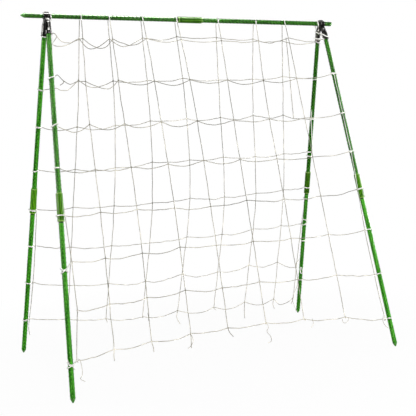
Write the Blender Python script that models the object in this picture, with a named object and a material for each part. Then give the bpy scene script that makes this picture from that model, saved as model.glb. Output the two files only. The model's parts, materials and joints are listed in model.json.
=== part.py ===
"""Garden trellis: an A-frame of coated garden stakes with a cord net over both faces.

Ten equal stakes, each a tube with a pointed tip and an end cap, are joined in pairs by ribbed
sleeves. One pair is the crossbar and four pairs are the legs. At each end of the crossbar two
moulded clip halves turn on the bar, and each holds one leg in a long socket. The net of knotted
cord hangs over the crossbar and is looped round the legs at every row.

Units are metres, +Z is up, +X runs along the crossbar and -Y is the front. Each frame is drawn
folded flat in its hinge's own axes, with the crossbar's axis as origin, and its hinge empty
turns it out to the standing pose.
"""

import math

import bmesh
import bpy
from mathutils import Matrix, Vector

# Stakes: tube, pointed tip and end cap
STAKE_LENGTH = 0.610
STAKE_RADIUS = 0.008
STAKE_WALL = 0.0006
TIP_LENGTH = 0.013
TIP_RIM = 0.0015
TIP_BLUNT_RADIUS = 0.002
CAP_HEIGHT = 0.005
CAP_DOME_STEPS = 3
SPIGOT_LENGTH = 0.014
SPIGOT_TAPER = 0.0004
STAKE_SIDES = 16

# Gaps between pieces that seat on, run on or swing past each other
SEAT_GAP = 0.0003
BORE_GAP = 0.0003
FOLD_GAP = 0.0005

# Sleeves that join two stakes end to end
SLEEVE_LENGTH = 0.093
SLEEVE_WALL = 0.0029
SLEEVE_RIB_HEIGHT = 0.0005
SLEEVE_RIBS = 12
SLEEVE_CHAMFER = 0.0015

# Stance: how far the bar passes its clips, and how the legs splay and lean outwards
OVERHANG_POINTED = 0.0867
OVERHANG_ROUND = 0.0516
SPLAY = math.radians(15.25)
LEG_LEAN = math.radians(3.14)

# Hinge clips
CLIP_WIDTH = 0.0184
KNUCKLE_WALL = 0.0032
INNER_KNUCKLE_WIDTH = 0.0056
KNUCKLE_SIDES = 32
LEG_TOP = 0.0456
NECK_START = 0.004
NECK_MIDDLE = 0.020
NECK_TOP_CORNERS = 0.45
NECK_MIDDLE_CORNERS = 0.62
NECK_FILL = 0.55
SOCKET_HEAD = 0.0096
SOCKET_GRIP = 0.0244
SOCKET_WALL = 0.0015
SOCKET_RIB_HEIGHT = 0.0007
COLLAR_LENGTH = 0.008
COLLAR_STEP = 0.0013
COLLAR_CHAMFER = 0.0009
SECTION_POINTS = 24
POINTS_PER_RIB = 4
STOP_HEIGHT = 0.0033
STOP_TOP_WIDTH = 0.0024
STOP_SHOULDER_WIDTH = 0.0034
STOP_ROOT_WIDTH = 0.0051

# Net: its cord, rows and knots
CORD_HALF = 0.0011
KNOT_RISE = 0.0009
MESH_SIZE = 0.150
FIRST_ROW_BELOW_CLIP = 0.0045
LAST_ROW_ABOVE_TIP = 0.080
ROW_RISE_TOP = -0.010
ROW_RISE_BOTTOM = 0.026
CORD_BESIDE_CLIP = 0.0045
CORD_BESIDE_LOOP = 0.0030
LOOP_SECTIONS = 8
WRAP_SECTIONS = 3
# A narrow mesh lets its cord sag, most of all in the top row; a wide one leaves little slack
NARROW_CORD_TOP = 0.132
NARROW_CORD_LOW = 0.094
NARROW_CORD_FALL = 0.7
LEAST_SLACK = 0.004
# The seven inner uprights from left to right, at the bar and where they hang low on the front
# and on the rear face: places between the clips, from -1 at the left clip to 1 at the right
DRIFT_DEPTH = 0.700
UPRIGHTS_AT_BAR = (-0.784, -0.599, -0.373, -0.140, 0.170, 0.460, 0.688)
UPRIGHTS_LOW_FRONT = (-0.835, -0.597, -0.348, -0.096, 0.166, 0.449, 0.750)
UPRIGHTS_LOW_REAR = (-0.804, -0.523, -0.226, 0.061, 0.351, 0.619, 0.885)
# Cut cord ends below the bottom row, from the left edge to the right edge
TAILS_FRONT = (0.062, 0.036, 0.028, 0.046, 0.014, 0.056, 0.030, 0.018, 0.034)
TAILS_REAR = (0.040, 0.012, 0.018, 0.026, 0.030, 0.014, 0.034, 0.022, 0.030)
TAIL_CURL = 0.006
TAIL_BEND = 0.6

# Finishes: name, colour and roughness
GREEN_COAT = ("stake_coat", (0.045, 0.235, 0.040), 0.38)
GREEN_PLASTIC = ("tip_plastic", (0.050, 0.250, 0.038), 0.42)
LIME_PLASTIC = ("sleeve_plastic", (0.170, 0.350, 0.025), 0.40)
BLACK_PLASTIC = ("clip_plastic", (0.012, 0.012, 0.012), 0.32)
CORD = ("net_cord", (0.720, 0.700, 0.650), 0.80)

SMOOTH_ANGLE = math.radians(35)
PORT_CORNERS = ((-1, -1), (1, -1), (1, 1), (-1, 1))

# Sizes that follow from the ones above
SLEEVE_RADIUS = STAKE_RADIUS + BORE_GAP + SLEEVE_WALL
KNUCKLE_RADIUS = STAKE_RADIUS + BORE_GAP + KNUCKLE_WALL
SOCKET_RADIUS = STAKE_RADIUS + BORE_GAP + SOCKET_WALL
COLLAR_RADIUS = SOCKET_RADIUS + COLLAR_STEP
LEG_OFFSET = max(SLEEVE_RADIUS, COLLAR_RADIUS) + FOLD_GAP
PAIR_LENGTH = 2 * STAKE_LENGTH + SEAT_GAP
CLIP_SPACING = PAIR_LENGTH - OVERHANG_POINTED - OVERHANG_ROUND
BAR_START = -CLIP_SPACING / 2 - OVERHANG_POINTED
LEG_DEPTH = LEG_TOP + PAIR_LENGTH
SOCKET_START = LEG_TOP - SOCKET_HEAD
SOCKET_MOUTH = LEG_TOP + SOCKET_GRIP
ROW_FIRST = SOCKET_MOUTH + FIRST_ROW_BELOW_CLIP
ROW_COUNT = 1 + int((LEG_DEPTH - LAST_ROW_ABOVE_TIP - ROW_FIRST) / MESH_SIZE)
WRAP_GAP = 2 * SEAT_GAP


def material(finish):
    name, colour, roughness = finish
    made = bpy.data.materials.get(name)
    if made is None:
        made = bpy.data.materials.new(name)
        made.use_nodes = True
        shader = made.node_tree.nodes["Principled BSDF"]
        shader.inputs["Base Color"].default_value = (*colour, 1.0)
        shader.inputs["Roughness"].default_value = roughness
        shader.inputs["Metallic"].default_value = 0.0
        made.diffuse_color = (*colour, 1.0)
    return made


def empty(name, parent=None, location=(0, 0, 0), rotation=(0, 0, 0)):
    made = bpy.data.objects.new(name, None)
    bpy.context.scene.collection.objects.link(made)
    return place(made, parent, location, rotation)


def place(obj, parent, location=(0, 0, 0), rotation=(0, 0, 0)):
    obj.parent = parent
    obj.location = location
    obj.rotation_euler = rotation
    return obj


def finish_object(name, bm, finish):
    """Turns a bmesh into a named object with its finish, smooth where the surface is round."""
    bmesh.ops.recalc_face_normals(bm, faces=bm.faces)
    mesh = bpy.data.meshes.new(name)
    bm.to_mesh(mesh)
    bm.free()
    mesh.shade_smooth()
    mesh.set_sharp_from_angle(angle=SMOOTH_ANGLE)
    made = bpy.data.objects.new(name, mesh)
    bpy.context.scene.collection.objects.link(made)
    if finish is not None:
        made.data.materials.append(material(finish))
    return made


def angles(count):
    return [2 * math.pi * i / count for i in range(count)]


def turned(name, profile, finish, closed=False):
    """Spins a profile of (radius, height) points about Z; a closed profile gives a tube."""
    bm = bmesh.new()
    points = [bm.verts.new((r, 0.0, z)) for r, z in profile]
    edges = [bm.edges.new(pair) for pair in zip(points, points[1:])]
    if closed:
        edges.append(bm.edges.new((points[-1], points[0])))
    bmesh.ops.spin(
        bm,
        geom=points + edges,
        cent=(0, 0, 0),
        axis=(0, 0, 1),
        angle=2 * math.pi,
        steps=STAKE_SIDES,
        use_merge=True,
    )
    bmesh.ops.remove_doubles(bm, verts=bm.verts, dist=1e-6)
    return finish_object(name, bm, finish)


def loft(bm, rings):
    """Joins rings of points, all of one count, with faces and closes both ends."""
    made = [[bm.verts.new(p) for p in ring] for ring in rings]
    for low, high in zip(made, made[1:]):
        for i in range(len(low)):
            j = (i + 1) % len(low)
            bm.faces.new((low[i], low[j], high[j], high[i]))
    bm.faces.new(made[0])
    bm.faces.new(made[-1])


def cylinder(name, radius, sides, start, end, matrix):
    """A closed cylinder from start to end along the matrix's own Z, as a tool or a stock piece."""
    bm = bmesh.new()
    ring = [Vector((radius * math.cos(a), radius * math.sin(a), 0)) for a in angles(sides)]
    loft(bm, [[matrix @ (p + Vector((0, 0, h))) for p in ring] for h in (start, end)])
    return finish_object(name, bm, None)


def combine(target, tool, operation):
    """Adds or cuts one solid with another and leaves only the result."""
    change = target.modifiers.new(operation.lower(), "BOOLEAN")
    change.operation = operation
    change.solver = "EXACT"
    change.object = tool
    result = bpy.data.meshes.new_from_object(
        target.evaluated_get(bpy.context.evaluated_depsgraph_get())
    )
    target.modifiers.remove(change)
    old = target.data
    target.data = result
    bpy.data.meshes.remove(old)
    spent = tool.data
    bpy.data.objects.remove(tool)
    bpy.data.meshes.remove(spent)


def bore_radius(sides):
    """Corner radius of a faceted bore whose flats clear the stake by the bore gap."""
    return (STAKE_RADIUS + BORE_GAP) / math.cos(math.pi / sides)


def spigot_radius():
    return STAKE_RADIUS - STAKE_WALL - BORE_GAP


def stake_tube(name):
    """The coated steel tube, which starts where the rim of its tip ends."""
    low = TIP_LENGTH + SEAT_GAP
    high = STAKE_LENGTH - CAP_HEIGHT - SEAT_GAP
    inner = STAKE_RADIUS - STAKE_WALL
    profile = [(STAKE_RADIUS, low), (STAKE_RADIUS, high), (inner, high), (inner, low)]
    return turned(name, profile, GREEN_COAT, closed=True)


def stake_tip(name):
    """The pointed tip: a blunt cone with a spigot that plugs the tube."""
    top = TIP_LENGTH + SPIGOT_LENGTH
    profile = [
        (0, 0),
        (TIP_BLUNT_RADIUS, 0),
        (STAKE_RADIUS, TIP_LENGTH - TIP_RIM),
        (STAKE_RADIUS, TIP_LENGTH),
        (spigot_radius(), TIP_LENGTH),
        (spigot_radius() - SPIGOT_TAPER, top),
        (0, top),
    ]
    return turned(name, profile, GREEN_PLASTIC)


def stake_cap(name):
    """The domed end cap with its spigot, drawn at the far end of the stake."""
    seat = STAKE_LENGTH - CAP_HEIGHT
    rises = [math.pi / 2 * i / CAP_DOME_STEPS for i in range(CAP_DOME_STEPS)]
    dome = [(STAKE_RADIUS * math.cos(a), seat + CAP_HEIGHT * math.sin(a)) for a in rises]
    profile = [
        (0, seat - SPIGOT_LENGTH),
        (spigot_radius() - SPIGOT_TAPER, seat - SPIGOT_LENGTH),
        (spigot_radius(), seat),
        *dome,
        (0, STAKE_LENGTH),
    ]
    return turned(name, profile, GREEN_PLASTIC)


def sleeve(name):
    """A ribbed tube with chamfered ends, its middle at the origin."""

    def ribbed(height, inset):
        ring = []
        for i, a in enumerate(angles(2 * SLEEVE_RIBS)):
            r = SLEEVE_RADIUS - inset - (SLEEVE_RIB_HEIGHT if i % 2 else 0)
            ring.append(Vector((r * math.cos(a), r * math.sin(a), height)))
        return ring

    half = SLEEVE_LENGTH / 2
    flat = half - SLEEVE_CHAMFER
    bm = bmesh.new()
    ends = ((-half, SLEEVE_CHAMFER), (-flat, 0), (flat, 0), (half, SLEEVE_CHAMFER))
    loft(bm, [ribbed(height, inset) for height, inset in ends])
    made = finish_object(name, bm, LIME_PLASTIC)
    past = half + SLEEVE_CHAMFER
    bore = cylinder("bore", bore_radius(STAKE_SIDES), STAKE_SIDES, -past, past, Matrix())
    combine(made, bore, "DIFFERENCE")
    return made


def stake_pair(prefix, first, second, carrier):
    """Two stakes in line from the carrier's origin, both with the tip first, and their sleeve."""
    for part, along in ((first, 0.0), (second, STAKE_LENGTH + SEAT_GAP)):
        place(stake_tube(f"{prefix}_{part}_stake"), carrier, (0, 0, along))
        place(stake_tip(f"{prefix}_{part}_tip"), carrier, (0, 0, along))
        place(stake_cap(f"{prefix}_{part}_cap"), carrier, (0, 0, along))
    place(sleeve(f"{prefix}_sleeve"), carrier, (0, 0, PAIR_LENGTH / 2))


def bar_height():
    """Height of the crossbar's axis with the four blunt tips on the ground."""
    upright = LEG_DEPTH * math.cos(LEG_LEAN)
    tilt = math.acos(math.cos(LEG_LEAN) * math.cos(SPLAY))
    lowest = upright * math.cos(SPLAY) - LEG_OFFSET * math.sin(SPLAY)
    return lowest + TIP_BLUNT_RADIUS * math.sin(tilt)


def centre_shift():
    """Brings the middle of the whole object's length to X = 0."""
    shoulder = LEG_DEPTH - TIP_LENGTH + TIP_RIM
    reach = (
        CLIP_SPACING / 2
        + shoulder * math.sin(LEG_LEAN)
        + STAKE_RADIUS * math.cos(LEG_LEAN)
    )
    low = min(BAR_START, -reach)
    high = max(BAR_START + PAIR_LENGTH, reach)
    return -(low + high) / 2


def rounded_section(centre, half_x, half_y, corners):
    """A level ring from nearly rectangular, at small corners, to an ellipse at corners of 1."""
    ring = []
    for a in angles(SECTION_POINTS):
        c, s = math.cos(a), math.sin(a)
        x = math.copysign(abs(c) ** corners, c) * half_x
        y = math.copysign(abs(s) ** corners, s) * half_y
        ring.append(centre + Vector((x, y, 0)))
    return ring


def clip_half(name, inner, lean_side):
    """One hinge clip half, folded: knuckle on the bar, lofted neck and ribbed leg socket.

    The inner half has one knuckle between the two of the outer half. The neck and the stop lug
    reach over the other half's knuckle with the same running gap that the bar has.
    """
    down = Vector((lean_side * math.sin(LEG_LEAN), 0, -math.cos(LEG_LEAN)))
    across = Vector((math.cos(LEG_LEAN), 0, lean_side * math.sin(LEG_LEAN)))
    depth = Vector((0, 1, 0))
    axis_start = Vector((0, -LEG_OFFSET, 0))

    def on_leg(along, radius, rib=0.0):
        centre = axis_start + down * along
        ring = []
        for i, a in enumerate(angles(SECTION_POINTS)):
            crest = rib if i % POINTS_PER_RIB == POINTS_PER_RIB // 2 else 0.0
            ring.append(centre + (across * math.cos(a) + depth * math.sin(a)) * (radius + crest))
        return ring

    def neck(height, outer, corners):
        """A section that runs from the fold plane out to the given depth."""
        half = (outer - FOLD_GAP) / 2
        shift = lean_side * math.tan(LEG_LEAN) * (height - NECK_START)
        centre = Vector((shift, -FOLD_GAP - half, -height))
        return rounded_section(centre, CLIP_WIDTH / 2 - SEAT_GAP, half, corners)

    collar_top = SOCKET_MOUTH - COLLAR_LENGTH
    bm = bmesh.new()
    loft(
        bm,
        [
            neck(NECK_START, KNUCKLE_RADIUS - SEAT_GAP, NECK_TOP_CORNERS),
            neck(NECK_MIDDLE, LEG_OFFSET + SOCKET_RADIUS * NECK_FILL, NECK_MIDDLE_CORNERS),
            on_leg(SOCKET_START, SOCKET_RADIUS),
            on_leg(SOCKET_START + COLLAR_CHAMFER, SOCKET_RADIUS, SOCKET_RIB_HEIGHT),
            on_leg(collar_top, SOCKET_RADIUS, SOCKET_RIB_HEIGHT),
            on_leg(collar_top + COLLAR_CHAMFER, COLLAR_RADIUS),
            on_leg(SOCKET_MOUTH - COLLAR_CHAMFER, COLLAR_RADIUS),
            on_leg(SOCKET_MOUTH, COLLAR_RADIUS - COLLAR_CHAMFER),
        ],
    )
    made = finish_object(name, bm, BLACK_PLASTIC)
    along_bar = Matrix.Rotation(math.pi / 2, 4, "Y")
    half_width = CLIP_WIDTH / 2
    knuckle = cylinder(
        "knuckle", KNUCKLE_RADIUS, KNUCKLE_SIDES, -half_width, half_width, along_bar
    )
    combine(made, knuckle, "UNION")
    combine(made, stop_lug(), "UNION")
    edge = INNER_KNUCKLE_WIDTH / 2
    if inner:
        cuts = [(edge, CLIP_WIDTH), (-CLIP_WIDTH, -edge)]
    else:
        cuts = [(-edge - SEAT_GAP, edge + SEAT_GAP)]
    for low, high in cuts:
        relief = cylinder(
            "relief", KNUCKLE_RADIUS + BORE_GAP, KNUCKLE_SIDES, low, high, along_bar
        )
        combine(made, relief, "DIFFERENCE")
    bar_bore = cylinder(
        "bar_bore", bore_radius(KNUCKLE_SIDES), KNUCKLE_SIDES, -CLIP_WIDTH, CLIP_WIDTH, along_bar
    )
    combine(made, bar_bore, "DIFFERENCE")
    leg_bore = cylinder(
        "leg_bore",
        bore_radius(STAKE_SIDES),
        STAKE_SIDES,
        -SOCKET_MOUTH - COLLAR_LENGTH,
        -LEG_TOP + SEAT_GAP,
        Matrix.Translation(axis_start) @ Matrix.Rotation(-lean_side * LEG_LEAN, 4, "Y"),
    )
    combine(made, leg_bore, "DIFFERENCE")
    made.data.shade_smooth()
    made.data.set_sharp_from_angle(angle=SMOOTH_ANGLE)
    return made


def stop_lug():
    """The lug on top of the knuckle that meets the other half's when the frame stands open."""
    half = CLIP_WIDTH / 2 - SEAT_GAP
    top = KNUCKLE_RADIUS + STOP_HEIGHT
    root = KNUCKLE_RADIUS - KNUCKLE_WALL / 2
    face = -SEAT_GAP / 2
    outline = [
        (face, root),
        (face, top),
        (face - STOP_TOP_WIDTH, top),
        (face - STOP_SHOULDER_WIDTH, top - STOP_HEIGHT / 2),
        (face - STOP_ROOT_WIDTH, root),
    ]
    folded = Matrix.Rotation(SPLAY, 4, "X")
    bm = bmesh.new()
    loft(bm, [[folded @ Vector((x, y, z)) for y, z in outline] for x in (-half, half)])
    return finish_object("stop_lug", bm, None)


def leg(prefix, hinge, side):
    """One leg under its frame's hinge; side is -1 or 1 along the hinge's own X."""
    foot = Vector(
        (
            side * (CLIP_SPACING / 2 + LEG_DEPTH * math.sin(LEG_LEAN)),
            -LEG_OFFSET,
            -LEG_DEPTH * math.cos(LEG_LEAN),
        )
    )
    carrier = empty(f"{prefix}_leg", hinge, foot, (0, -side * LEG_LEAN, 0))
    stake_pair(prefix, "lower", "upper", carrier)


def loop_radius(held):
    """Radius at the corners of a cord loop that clears what it holds by the seat gap."""
    return (held + SEAT_GAP + CORD_HALF) / math.cos(math.pi / LOOP_SECTIONS)


def wrap_radius(place_on_bar):
    """Radius of an upright's turn over the bar, wider where it lies on the bar's sleeve."""
    middle = BAR_START + PAIR_LENGTH / 2
    on_sleeve = abs(place_on_bar - middle) < SLEEVE_LENGTH / 2 + CORD_HALF + SEAT_GAP
    return (SLEEVE_RADIUS if on_sleeve else STAKE_RADIUS) + WRAP_GAP + CORD_HALF


class NetBuilder:
    """Builds one net face as a single closed solid of four-sided cords that meet at knots."""

    def __init__(self, facing, low_places, tails):
        self.bm = bmesh.new()
        self.facing = facing
        self.low_places = low_places
        self.tails = tails

    def ring(self, point, a, b):
        return [
            self.bm.verts.new(point + a * (i * CORD_HALF) + b * (j * CORD_HALF))
            for i, j in PORT_CORNERS
        ]

    def bridge(self, rings):
        for low, high in zip(rings, rings[1:]):
            for i in range(4):
                j = (i + 1) % 4
                self.bm.faces.new((low[i], low[j], high[j], high[i]))

    def knot(self, point):
        """A small cube with a raised front and back; its four other sides are ports."""
        h = CORD_HALF
        corner = {
            (i, j, k): self.bm.verts.new(point + Vector((i * h, j * h, k * h)))
            for i in (-1, 1)
            for j in (-1, 1)
            for k in (-1, 1)
        }
        for j in (-1, 1):
            crest = self.bm.verts.new(point + Vector((0, j * (h + KNOT_RISE), 0)))
            face = [corner[i, j, k] for i, k in PORT_CORNERS]
            for low, high in zip(face, face[1:] + face[:1]):
                self.bm.faces.new((low, high, crest))
        return {
            "point": point,
            "left": [corner[-1, a, b] for a, b in PORT_CORNERS],
            "right": [corner[1, a, b] for a, b in PORT_CORNERS],
            "down": [corner[a, b, -1] for a, b in PORT_CORNERS],
            "up": [corner[a, b, 1] for a, b in PORT_CORNERS],
        }

    def leg_x(self, side, depth):
        return side * (CLIP_SPACING / 2 + depth * math.tan(LEG_LEAN))

    def upright_x(self, index, depth):
        """Where an upright hangs at a depth below the bar, counted from the left edge."""
        last = len(UPRIGHTS_AT_BAR) + 1
        if index in (0, last):
            side = -1 if index == 0 else 1
            at_bar = CLIP_WIDTH / 2 + CORD_HALF + CORD_BESIDE_CLIP
            at_rows = loop_radius(SLEEVE_RADIUS) + CORD_HALF + CORD_BESIDE_LOOP
            settle = min(depth / ROW_FIRST, 1.0)
            return self.leg_x(side, depth) - side * (at_bar + (at_rows - at_bar) * settle)
        at_bar = UPRIGHTS_AT_BAR[index - 1]
        low = self.low_places[index - 1]
        share = math.sin(math.pi / 2 * min(depth / DRIFT_DEPTH, 1.0))
        return (at_bar + (low - at_bar) * share) * CLIP_SPACING / 2

    def knot_point(self, row, index):
        """A knot in the net's plane: a row rises or drops in its middle between the legs."""
        depth = ROW_FIRST + MESH_SIZE * row
        middle = math.sin(math.pi * index / (len(UPRIGHTS_AT_BAR) + 1))
        rise = ROW_RISE_TOP + (ROW_RISE_BOTTOM - ROW_RISE_TOP) * depth / LEG_DEPTH
        depth -= rise * middle
        return Vector((self.facing * self.upright_x(index, depth), -LEG_OFFSET, -depth))

    def row_cord(self, row, left, right):
        """The cord between two knots of a row, which sags as far as its slack lets it."""
        start, end = left["point"], right["point"]
        span = (end - start).length
        fall = NARROW_CORD_FALL**row
        length = NARROW_CORD_LOW + (NARROW_CORD_TOP - NARROW_CORD_LOW) * fall
        sag = span * math.sqrt(3 / 8 * max(length / span - 1, LEAST_SLACK))
        steps = 4 if row < 2 else 2
        rings = [left["right"]]
        for i in range(1, steps):
            t = i / steps
            point = start.lerp(end, t) - Vector((0, 0, 4 * sag * t * (1 - t)))
            slope = (end - start) - Vector((0, 0, 4 * sag * (1 - 2 * t)))
            slope.normalize()
            rings.append(self.ring(point, Vector((0, 1, 0)), Vector((-slope.z, 0, slope.x))))
        rings.append(right["left"])
        self.bridge(rings)

    def loop_round_leg(self, side, knot):
        """The cord's turn round a leg or its sleeve, and its link to the edge knot."""
        depth = -knot["point"].z
        from_joint = abs(depth / math.cos(LEG_LEAN) - LEG_TOP - PAIR_LENGTH / 2)
        on_sleeve = from_joint < SLEEVE_LENGTH / 2 + CORD_HALF + SEAT_GAP
        radius = loop_radius(SLEEVE_RADIUS if on_sleeve else STAKE_RADIUS)
        centre = Vector((self.leg_x(side, depth), -LEG_OFFSET, -depth))
        inward = 0.0 if side < 0 else math.pi
        sections = []
        for turn in angles(LOOP_SECTIONS):
            a = inward + math.pi / LOOP_SECTIONS + turn
            out = Vector((math.cos(a), math.sin(a), 0))
            sections.append(self.ring(centre + out * radius, out, Vector((0, 0, 1))))
        for i, low in enumerate(sections):
            high = sections[(i + 1) % LOOP_SECTIONS]
            faces_net = i == LOOP_SECTIONS - 1
            for c in range(4):
                d = (c + 1) % 4
                if not (faces_net and c == 1):
                    self.bm.faces.new((low[c], low[d], high[d], high[c]))
        before, after = sections[-1], sections[0]
        if side < 0:
            self.bridge([[before[1], after[1], after[2], before[2]], knot["left"]])
        else:
            self.bridge([knot["right"], [after[1], before[1], before[2], after[2]]])

    def over_bar(self, index, knot):
        """The upright from the top row to the bar and over it, as far as the bar's crest."""
        own_x = self.upright_x(index, 0.0)
        radius = wrap_radius(own_x)
        first = math.pi
        last = math.pi / 2 + SPLAY + SEAT_GAP / radius
        rings = [knot["up"]]
        for i in range(WRAP_SECTIONS + 1):
            a = first + (last - first) * i / WRAP_SECTIONS
            out = Vector((0, math.cos(a), math.sin(a)))
            centre = Vector((self.facing * own_x, 0, 0)) + out * radius
            rings.append(self.ring(centre, Vector((1, 0, 0)), -out))
        self.bridge(rings)
        self.bm.faces.new(rings[-1])

    def tail(self, knot, length, curl):
        """A cut cord end that hangs from a bottom knot and curls a little to one side."""
        across, depth = Vector((1, 0, 0)), Vector((0, 1, 0))
        bend = knot["point"] + Vector((curl * TAIL_BEND**2, 0, -TAIL_BEND * length))
        end = knot["point"] + Vector((curl, 0, -length))
        rings = [knot["down"], self.ring(bend, across, depth), self.ring(end, across, depth)]
        self.bridge(rings)
        self.bm.faces.new(rings[-1])

    def build(self, name):
        order = list(range(len(UPRIGHTS_AT_BAR) + 2))[:: self.facing]
        rows = [[self.knot(self.knot_point(row, i)) for i in order] for row in range(ROW_COUNT)]
        for row, knots in enumerate(rows):
            for left, right in zip(knots, knots[1:]):
                self.row_cord(row, left, right)
            self.loop_round_leg(-1, knots[0])
            self.loop_round_leg(1, knots[-1])
        for above, below in zip(rows, rows[1:]):
            for high, low in zip(above, below):
                self.bridge([high["down"], low["up"]])
        for index, top, bottom in zip(order, rows[0], rows[-1]):
            self.over_bar(index, top)
            self.tail(bottom, self.tails[index], TAIL_CURL * (-1) ** index)
        return finish_object(name, self.bm, CORD)


def frame_side(name, hinge, facing, low_places, tails):
    """One swinging frame: two legs, two clip halves and the net that joins them."""
    for side_name, world_side in (("left", -1), ("right", 1)):
        side = world_side * facing
        leg(f"{name}_{side_name}", hinge, side)
        clip = clip_half(f"{name}_{side_name}_clip", facing < 0, side)
        place(clip, hinge, (side * CLIP_SPACING / 2, 0, 0))
    net = NetBuilder(facing, low_places, tails).build(f"{name}_net")
    place(net, hinge)


def crossbar(trellis):
    """The bar lies along X, with its pointed tip to the left and its capped end to the right."""
    carrier = empty("crossbar", trellis, (BAR_START, 0, bar_height()), (0, math.pi / 2, 0))
    stake_pair("crossbar", "left", "right", carrier)


def build():
    for old in list(bpy.data.objects):
        bpy.data.objects.remove(old)
    trellis = empty("trellis", None, (centre_shift(), 0, 0))
    crossbar(trellis)
    axis = (0, 0, bar_height())
    front = empty("front_hinge", trellis, axis, (-SPLAY, 0, 0))
    rear = empty("rear_hinge", trellis, axis, (-SPLAY, 0, math.pi))
    frame_side("front", front, 1, UPRIGHTS_LOW_FRONT, TAILS_FRONT)
    frame_side("rear", rear, -1, UPRIGHTS_LOW_REAR, TAILS_REAR)


build()
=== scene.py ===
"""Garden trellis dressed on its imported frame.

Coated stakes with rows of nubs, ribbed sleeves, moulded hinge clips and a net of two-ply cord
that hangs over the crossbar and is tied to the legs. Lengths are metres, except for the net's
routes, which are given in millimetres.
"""

import json
import math
import random

import bmesh
import bpy
from mathutils import Matrix, Vector


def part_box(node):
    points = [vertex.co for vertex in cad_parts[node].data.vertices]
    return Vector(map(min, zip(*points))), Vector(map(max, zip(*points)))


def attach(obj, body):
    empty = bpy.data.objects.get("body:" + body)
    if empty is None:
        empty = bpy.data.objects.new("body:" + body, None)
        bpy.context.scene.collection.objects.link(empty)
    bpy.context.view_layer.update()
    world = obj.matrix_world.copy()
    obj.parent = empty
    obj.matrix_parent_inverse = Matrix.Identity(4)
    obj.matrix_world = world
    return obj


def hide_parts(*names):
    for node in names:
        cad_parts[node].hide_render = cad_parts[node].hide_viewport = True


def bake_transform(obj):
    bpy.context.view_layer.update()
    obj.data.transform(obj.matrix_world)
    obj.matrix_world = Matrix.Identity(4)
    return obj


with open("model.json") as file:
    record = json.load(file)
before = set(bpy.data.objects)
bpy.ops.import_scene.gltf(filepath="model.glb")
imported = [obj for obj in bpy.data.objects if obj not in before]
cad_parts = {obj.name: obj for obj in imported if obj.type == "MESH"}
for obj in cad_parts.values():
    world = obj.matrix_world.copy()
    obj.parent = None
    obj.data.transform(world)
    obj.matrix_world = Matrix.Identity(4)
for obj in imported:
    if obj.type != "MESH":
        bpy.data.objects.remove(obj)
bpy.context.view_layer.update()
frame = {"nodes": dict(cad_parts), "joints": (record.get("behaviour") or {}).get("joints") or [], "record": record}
chance = random.Random(12)

MM = 0.001
SIDES = ("left", "right")

# Sizes taken from the frame: the crossbar lies along X, so its pieces' boxes give them
TIP_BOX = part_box("crossbar_left_tip")
COAT_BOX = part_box("crossbar_left_stake")
SECOND_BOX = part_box("crossbar_right_stake")
SLEEVE_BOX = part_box("crossbar_sleeve")
CLIP_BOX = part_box("front_left_clip")
MOUNTS = {mount["name"]: mount for mount in frame["record"]["mounts"]}
BAR_START = TIP_BOX[0].x
BAR_HEIGHT = frame["joints"][0]["pos_m"][2]
STAKE_RADIUS = (COAT_BOX[1].z - COAT_BOX[0].z) / 2
COAT_START = COAT_BOX[0].x - BAR_START
COAT_LENGTH = COAT_BOX[1].x - COAT_BOX[0].x
STAKE_PITCH = SECOND_BOX[0].x - COAT_BOX[0].x
SLEEVE_RADIUS = (SLEEVE_BOX[1].z - SLEEVE_BOX[0].z) / 2
SLEEVE_HALF = (SLEEVE_BOX[1].x - SLEEVE_BOX[0].x) / 2
SLEEVE_MIDDLE = (SLEEVE_BOX[0].x + SLEEVE_BOX[1].x) / 2 - BAR_START
FIT_BORE = STAKE_RADIUS + 0.0003

# Coat of the stakes
NUB_COUNT = 41
NUB_PITCH = COAT_LENGTH / NUB_COUNT
NUB_HEIGHT = 0.0011
NUB_INSET = 0.0006
COAT_SIDES = 20
COAT_RINGS = 4
NUB_EVERY = 4
COAT_BORE = STAKE_RADIUS - 0.0006
BORE_DEPTH = 0.0150

# Sleeves and hinge clips
RIB_HEIGHT = 0.0006
WALL_SIDES = 48
CLIP_WIDTH = CLIP_BOX[1].x - CLIP_BOX[0].x
KNUCKLE_RADIUS = STAKE_RADIUS + 0.0035
KNUCKLE_SIDES = 56
INNER_KNUCKLE = 0.0056
KNUCKLE_GAP = 0.0006
LUG_HEIGHT = 0.0033
SOCKET_DEPTH = 0.0700
SOCKET_RADIUS = 0.0105
SOCKET_GRIP = 0.036
COLLAR_RADIUS = 0.0111
LEG_OFFSET = 0.0117
# The neck's cross sections down from the bar's axis: half its width, its inner and outer face
NECK_SECTIONS = (
    (0.0124, 0.0084, 0.0007, 0.0114),
    (0.0150, 0.0086, 0.0007, 0.0122),
    (0.0200, 0.0087, 0.0008, 0.0138),
    (0.0260, 0.0086, 0.0011, 0.0154),
    (0.0310, 0.0082, 0.0018, 0.0162),
    (0.0345, 0.0066, 0.0050, 0.0150),
)

# How bright the coat of each stake is, partly its own tone and partly painted light and shade, and how much
# painted whitish sheen it carries; then each sleeve's brightness, partly its own tone and partly painted light and
# shade
STAKE_TONE_AND_LIGHT = {
    "crossbar_left": (0.50, 0.03),
    "crossbar_right": (0.52, 0.00),
    "front_left_lower": (1.30, 0.08),
    "front_left_upper": (0.88, 0.20),
    "front_right_lower": (1.32, 0.08),
    "front_right_upper": (0.58, 0.00),
    "rear_left_lower": (1.42, 0.02),
    "rear_left_upper": (1.28, 0.02),
    "rear_right_lower": (1.02, 0.05),
    "rear_right_upper": (0.54, 0.00),
}
SLEEVE_TONE_AND_LIGHT = {
    "crossbar": 0.50,
    "front_left": 0.82,
    "front_right": 0.78,
    "rear_left": 1.25,
    "rear_right": 0.53,
}

# Cord of the net: radius across its flat side, radius of a ply and half its waist
CORD_RADIUS = 1.64 * MM
PLY_RADIUS = 0.86 * MM
PLY_WAIST = 0.48 * MM
TWIST_PITCH = 9.0 * MM
CORD_STEP = 1.5 * MM
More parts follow.
